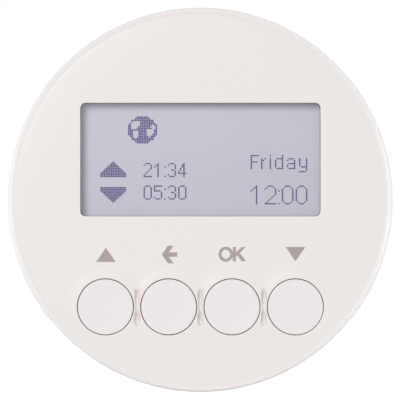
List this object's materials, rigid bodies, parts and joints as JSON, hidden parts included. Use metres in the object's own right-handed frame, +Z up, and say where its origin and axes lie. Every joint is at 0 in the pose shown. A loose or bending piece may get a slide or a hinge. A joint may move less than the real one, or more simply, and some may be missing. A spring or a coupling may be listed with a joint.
{
  "type": "programmable timer",
  "caption": "Round plug-on timer module with a dot-matrix display window, a row of push buttons and a round rear spigot with a contact plug.",
  "frame": {"origin": "on the axis of the round cover, in the plane of the skirt's rear edge, which lies on the support ring", "axes": "+X to the right and +Z up as seen from the front, +Y from the front to the rear along the cover's axis"},
  "size_m": [0.058, 0.0256, 0.058],
  "materials": {
    "cover_plastic": "satin gloss, off-white thermoplastic",
    "button_plastic": "satin gloss, off-white thermoplastic",
    "clear_plastic": "polished clear acrylic",
    "foam": "closed-cell foam",
    "polariser_film": "satin optical film",
    "display_glass": "polished thin glass",
    "silicon": "polished dark silicon",
    "ribbon_film": "amber polyimide with copper tracks",
    "connector_plastic": "matt cream moulding",
    "white_film": "matt white film",
    "light_guide_plastic": "clear acrylic with printed dots",
    "lamp_resin": "yellow phosphor in white resin",
    "carrier_plastic": "matt white moulding",
    "guide_plastic": "matt pale grey moulding",
    "solder_metal": "tinned copper",
    "circuit_board": "green solder mask over glass laminate",
    "chip_epoxy": "matt black moulding compound",
    "crystal_can": "drawn nickel can",
    "capacitor_sleeve": "shrunk dark blue sleeve",
    "chip_ceramic": "fired ceramic with tinned ends",
    "switch_plastic": "matt black moulding",
    "switch_steel": "stamped sheet",
    "dome_steel": "spring steel sheet",
    "plunger_plastic": "matt moulding",
    "header_plastic": "matt black moulding",
    "contact_metal": "gold-flashed brass",
    "housing_plastic": "fine spark-eroded dark grey moulding",
    "screw_steel": "zinc-plated steel"
  },
  "bodies": {
    "module": {"front_cover": "cover_plastic", "display_window": "clear_plastic", "window_gasket": "foam", "lcd_front_polariser": "polariser_film", "lcd_front_glass": "display_glass", "lcd_rear_glass": "display_glass", "lcd_rear_polariser": "polariser_film", "lcd_driver_chip": "silicon", "lcd_ribbon": "ribbon_film", "ribbon_connector": "connector_plastic", "backlight_diffuser": "white_film", "backlight_guide": "light_guide_plastic", "backlight_reflector": "white_film", "backlight_leds": "lamp_resin", "lcd_carrier": "carrier_plastic", "button_guide": "guide_plastic", "switch_terminals": "solder_metal", "main_board": "circuit_board", "controller_chip": "chip_epoxy", "controller_leads": "solder_metal", "memory_chip": "chip_epoxy", "clock_crystal": "crystal_can", "backup_capacitor": "capacitor_sleeve", "filter_capacitor": "capacitor_sleeve", "passive_parts": "chip_ceramic", "header_body": "header_plastic", "header_pins": "contact_metal", "rear_housing": "housing_plastic", "housing_screws": "screw_steel", "switch_base_up": "switch_plastic", "switch_cover_up": "switch_steel", "switch_dome_up": "dome_steel", "switch_base_back": "switch_plastic", "switch_cover_back": "switch_steel", "switch_dome_back": "dome_steel", "switch_base_ok": "switch_plastic", "switch_cover_ok": "switch_steel", "switch_dome_ok": "dome_steel", "switch_base_down": "switch_plastic", "switch_cover_down": "switch_steel", "switch_dome_down": "dome_steel"},
    "up_button": {"button_up": "button_plastic"},
    "up_plunger": {"switch_plunger_up": "plunger_plastic"},
    "back_button": {"button_back": "button_plastic"},
    "back_plunger": {"switch_plunger_back": "plunger_plastic"},
    "ok_button": {"button_ok": "button_plastic"},
    "ok_plunger": {"switch_plunger_ok": "plunger_plastic"},
    "down_button": {"button_down": "button_plastic"},
    "down_plunger": {"switch_plunger_down": "plunger_plastic"}
  },
  "joints": [
    {"name": "up_press", "type": "slide", "parent": "module", "child": "up_button", "axis": [0, 1, 0], "range_m": [0, 0.0003], "stiffness_N_per_m": 3000, "springref_m": -0.0002},
    {"name": "up_plunger_slide", "type": "slide", "parent": "module", "child": "up_plunger", "axis": [0, 1, 0], "range_m": [0, 0.0003], "deforming": ["switch_dome_up"]},
    {"name": "back_press", "type": "slide", "parent": "module", "child": "back_button", "axis": [0, 1, 0], "range_m": [0, 0.0003], "stiffness_N_per_m": 3000, "springref_m": -0.0002},
    {"name": "back_plunger_slide", "type": "slide", "parent": "module", "child": "back_plunger", "axis": [0, 1, 0], "range_m": [0, 0.0003], "deforming": ["switch_dome_back"]},
    {"name": "ok_press", "type": "slide", "parent": "module", "child": "ok_button", "axis": [0, 1, 0], "range_m": [0, 0.0003], "stiffness_N_per_m": 3000, "springref_m": -0.0002},
    {"name": "ok_plunger_slide", "type": "slide", "parent": "module", "child": "ok_plunger", "axis": [0, 1, 0], "range_m": [0, 0.0003], "deforming": ["switch_dome_ok"]},
    {"name": "down_press", "type": "slide", "parent": "module", "child": "down_button", "axis": [0, 1, 0], "range_m": [0, 0.0003], "stiffness_N_per_m": 3000, "springref_m": -0.0002},
    {"name": "down_plunger_slide", "type": "slide", "parent": "module", "child": "down_plunger", "axis": [0, 1, 0], "range_m": [0, 0.0003], "deforming": ["switch_dome_down"]}
  ],
  "couplings": [
    {"joint": "up_plunger_slide", "follows": "up_press", "ratio": 1},
    {"joint": "back_plunger_slide", "follows": "back_press", "ratio": 1},
    {"joint": "ok_plunger_slide", "follows": "ok_press", "ratio": 1},
    {"joint": "down_plunger_slide", "follows": "down_press", "ratio": 1}
  ]
}
